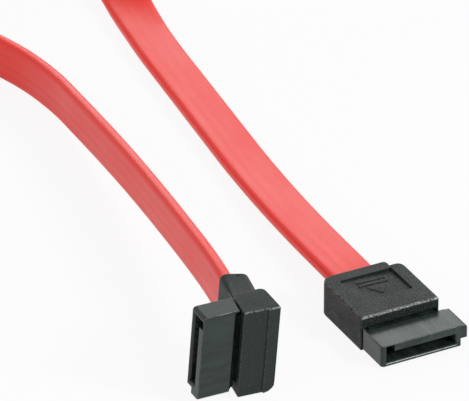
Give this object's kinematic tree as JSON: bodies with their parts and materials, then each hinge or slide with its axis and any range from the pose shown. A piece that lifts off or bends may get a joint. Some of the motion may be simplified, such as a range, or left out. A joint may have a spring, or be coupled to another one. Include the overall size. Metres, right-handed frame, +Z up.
{
  "type": "flat internal data cable",
  "caption": "Flat red ribbon data cable for drives inside a computer, with a straight keyed plug at one end and a right-angled keyed plug at the other.",
  "frame": {"origin": "centre of the two plugs' footprint, on the surface that they rest on", "axes": "+X from the angled plug towards the straight plug, -Y out of the straight plug's mouth, +Z up from the surface"},
  "size_m": [0.0513, 0.1533, 0.0165],
  "materials": {
    "ribbon": "satin red vinyl",
    "overmold": "fine spark texture, charcoal",
    "housing": "smooth satin, dark grey",
    "wire_cap": "plain inner moulding, off-white",
    "contact": "thin gold plating",
    "core": "insulated core",
    "drain": "tinned bare wire"
  },
  "bodies": {
    "root": {"cable_jacket": "ribbon", "straight_overmold": "overmold", "straight_housing": "housing", "straight_wire_cap": "wire_cap", "straight_contact_1": "contact", "straight_contact_2": "contact", "straight_contact_3": "contact", "straight_contact_4": "contact", "straight_contact_5": "contact", "straight_contact_6": "contact", "straight_contact_7": "contact", "straight_wire_1": "drain", "straight_wire_2": "core", "straight_wire_3": "core", "straight_wire_4": "drain", "straight_wire_5": "core", "straight_wire_6": "core", "straight_wire_7": "drain", "angled_overmold": "overmold", "angled_housing": "housing", "angled_wire_cap": "wire_cap", "angled_contact_1": "contact", "angled_contact_2": "contact", "angled_contact_3": "contact", "angled_contact_4": "contact", "angled_contact_5": "contact", "angled_contact_6": "contact", "angled_contact_7": "contact", "angled_wire_1": "drain", "angled_wire_2": "core", "angled_wire_3": "core", "angled_wire_4": "drain", "angled_wire_5": "core", "angled_wire_6": "core", "angled_wire_7": "drain"}
  },
  "joints": []
}
